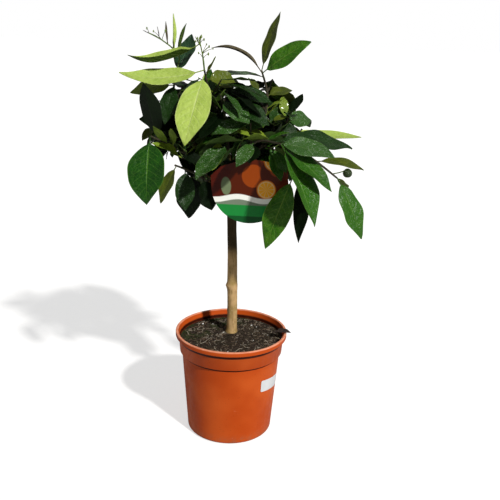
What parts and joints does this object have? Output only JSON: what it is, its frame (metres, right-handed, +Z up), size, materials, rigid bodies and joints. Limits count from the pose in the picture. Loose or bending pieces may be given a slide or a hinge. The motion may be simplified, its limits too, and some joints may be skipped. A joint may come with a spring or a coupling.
{
  "type": "potted orange tree",
  "caption": "Young standard orange tree with a slender bare trunk and a leafy round crown, growing in a round tapered plastic pot, with a hang tag on a twig.",
  "frame": {"origin": "centre of the pot's flat underside", "axes": "+Z up along the trunk, -Y towards the front with the hang tag, +X to the right seen from the front"},
  "size_m": [0.3899, 0.3279, 0.736],
  "materials": {
    "pot": "satin terracotta plastic",
    "compost": "moist dark compost",
    "bark": "smooth young bark",
    "leaf": "glossy leaf",
    "card": "printed plastic card"
  },
  "bodies": {
    "root": {"bough_back": "bark", "bough_back_left": "bark", "bough_back_right": "bark", "bough_bottom_left": "bark", "bough_front": "bark", "bough_front_right": "bark", "bough_front_upper_right": "bark", "bough_left": "bark", "bough_low_back_left": "bark", "bough_low_back_right": "bark", "bough_lower_left": "bark", "bough_right": "bark", "bough_side_left": "bark", "bough_side_right": "bark", "bough_upper_left": "bark", "bough_upper_right": "bark", "compost": "compost", "foliage_back": "leaf", "foliage_back_left": "leaf", "foliage_back_right": "leaf", "foliage_bottom_left": "leaf", "foliage_front": "leaf", "foliage_front_right": "leaf", "foliage_front_upper_right": "leaf", "foliage_left": "leaf", "foliage_low_back_left": "leaf", "foliage_low_back_right": "leaf", "foliage_lower_left": "leaf", "foliage_right": "leaf", "foliage_side_left": "leaf", "foliage_side_right": "leaf", "foliage_top": "leaf", "foliage_upper_left": "leaf", "foliage_upper_right": "leaf", "pot": "pot", "tag": "card", "trunk": "bark"}
  },
  "joints": []
}
